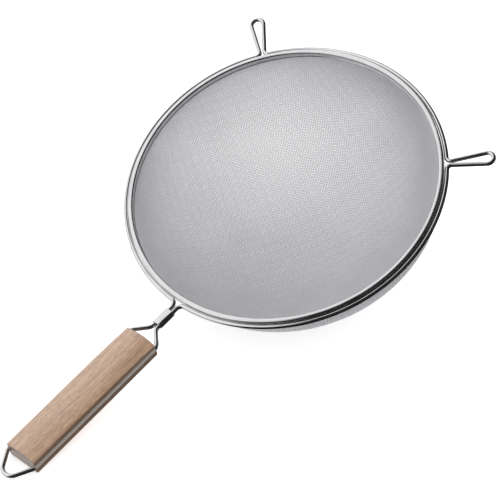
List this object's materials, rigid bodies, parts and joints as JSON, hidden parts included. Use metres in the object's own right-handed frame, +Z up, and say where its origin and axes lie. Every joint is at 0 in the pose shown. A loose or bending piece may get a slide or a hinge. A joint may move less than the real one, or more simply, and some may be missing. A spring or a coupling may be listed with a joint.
{
  "type": "double mesh strainer",
  "caption": "Round double-mesh bowl strainer with a beaded steel rim, teardrop rest hooks, a side-grooved wooden handle and a wire hang loop.",
  "frame": {"origin": "centre of the footprint, on the surface that the strainer stands on, resting on the bottom of its bowl and the butt of its handle", "axes": "+Z up, -X the way the handle points, so the bowl is on the +X side; the rim rises towards +X by 20.25 degrees; the strainer is its own mirror image across the plane Y = 0"},
  "size_m": [0.4292, 0.26, 0.1403],
  "materials": {
    "polished_steel": "polished",
    "woven_steel": "satin",
    "oiled_wood": "matte"
  },
  "bodies": {
    "root": {"wooden_handle": "oiled_wood", "frame_wire": "polished_steel", "neck_ferrule": "polished_steel", "rim_band": "polished_steel", "rim_core_ring": "polished_steel", "inner_fine_mesh": "woven_steel", "outer_support_mesh": "woven_steel"}
  },
  "joints": []
}
